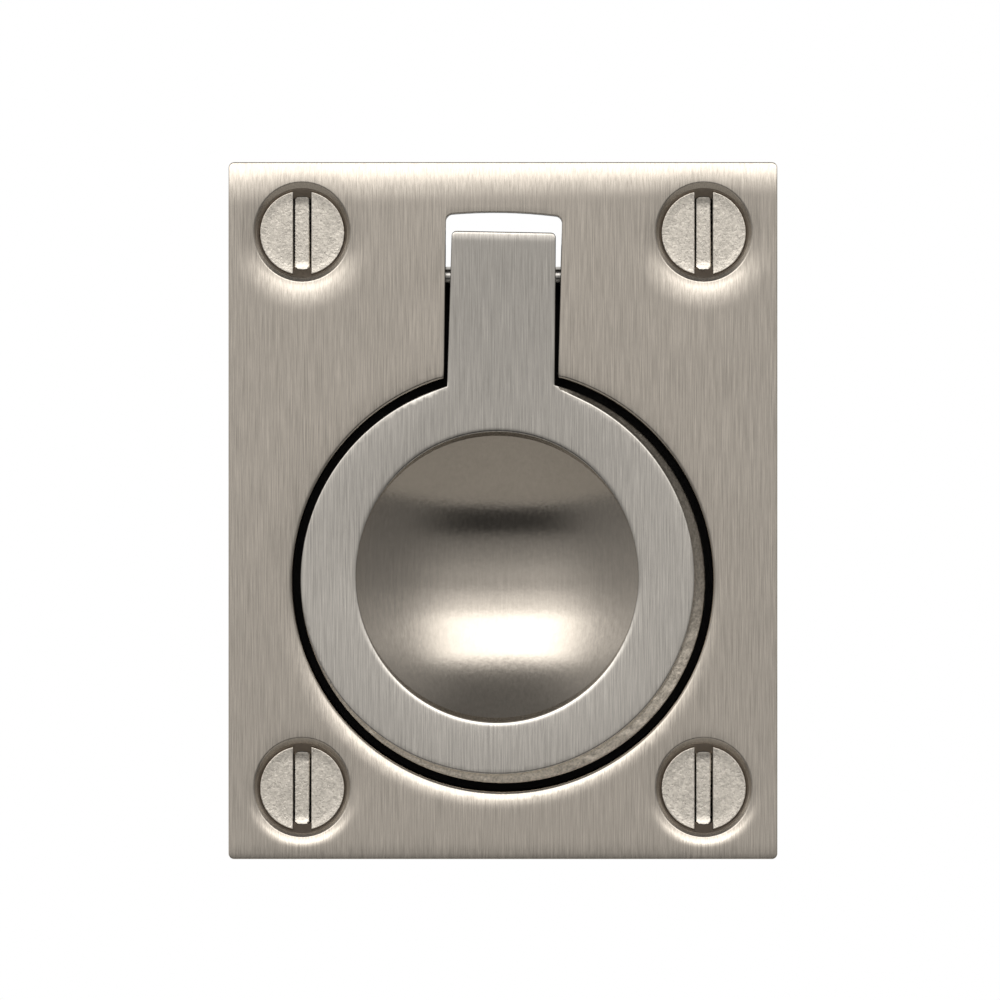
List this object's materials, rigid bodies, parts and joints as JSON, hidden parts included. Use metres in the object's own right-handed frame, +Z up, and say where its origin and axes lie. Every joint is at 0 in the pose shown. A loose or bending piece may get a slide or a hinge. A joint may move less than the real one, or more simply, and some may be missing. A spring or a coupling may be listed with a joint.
{
  "type": "flush ring pull",
  "caption": "Rectangular flush ring pull: a satin plate with a round recess and dished finger bowl, a hinged ring that lies flush in it, and slotted countersunk wood screws.",
  "frame": {"origin": "centre of the plate's outline, on the plane of its back face, which lies on the door or drawer front", "axes": "+X to the user's right, +Y into the door, out of the plate's back, +Z up the plate, towards the hinge; the face looks to -Y"},
  "size_m": [0.05, 0.0206, 0.0636],
  "materials": {
    "plate": "satin",
    "ring": "satin",
    "pin": "satin",
    "screws": "satin"
  },
  "bodies": {
    "backplate": {"backplate": "plate", "hinge_pin": "pin", "fixing_screws": "screws"},
    "ring": {"pull_ring": "ring"}
  },
  "joints": [
    {"name": "ring_hinge", "type": "hinge", "parent": "backplate", "child": "ring", "pos_m": [0, 0.0012, 0.0214], "axis": [-1, 0, 0], "range_deg": [0, 105]}
  ]
}
